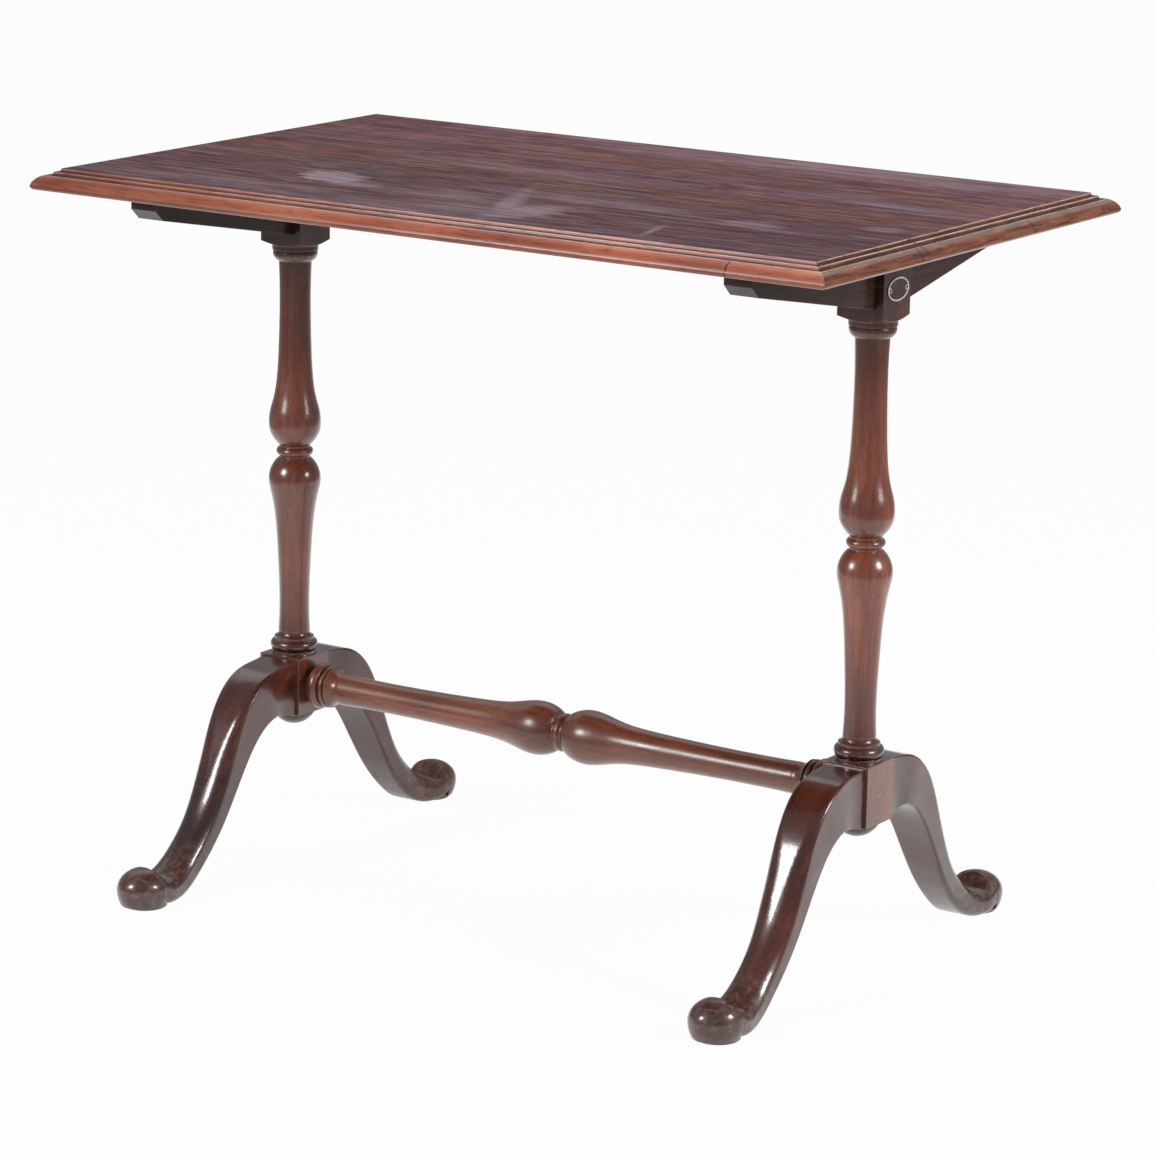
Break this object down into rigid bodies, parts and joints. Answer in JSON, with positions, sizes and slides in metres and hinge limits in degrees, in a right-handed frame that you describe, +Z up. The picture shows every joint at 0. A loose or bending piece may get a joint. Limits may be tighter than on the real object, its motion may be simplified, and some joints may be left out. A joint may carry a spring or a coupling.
{
  "type": "tea table",
  "caption": "Mahogany stretcher tea table with a moulded rectangular top on turned end standards, cabriole legs with pad feet and a knopped turned stretcher",
  "frame": {"origin": "on the floor under the middle of the table", "axes": "+X to the right along the top's length, +Y from the front to the back (the narrower board of the top is at the front), +Z up"},
  "size_m": [0.865, 0.543, 0.71],
  "materials": {
    "mahogany_top": "polished",
    "mahogany_base": "polished",
    "mahogany_dark": "unpolished",
    "iron_screw": "dull"
  },
  "bodies": {
    "root": {"top_board_front": "mahogany_top", "top_board_rear": "mahogany_top", "bearer_left": "mahogany_dark", "bearer_right": "mahogany_dark", "bearer_screws_left": "iron_screw", "bearer_screws_right": "iron_screw", "column_left": "mahogany_base", "column_right": "mahogany_base", "boss_left": "mahogany_dark", "boss_right": "mahogany_dark", "leg_front_left": "mahogany_base", "leg_front_right": "mahogany_base", "leg_rear_left": "mahogany_base", "leg_rear_right": "mahogany_base", "stretcher": "mahogany_base", "stretcher_screw_left": "iron_screw", "stretcher_screw_right": "iron_screw", "stretcher_plug_left": "mahogany_base", "stretcher_plug_right": "mahogany_base"}
  },
  "joints": []
}
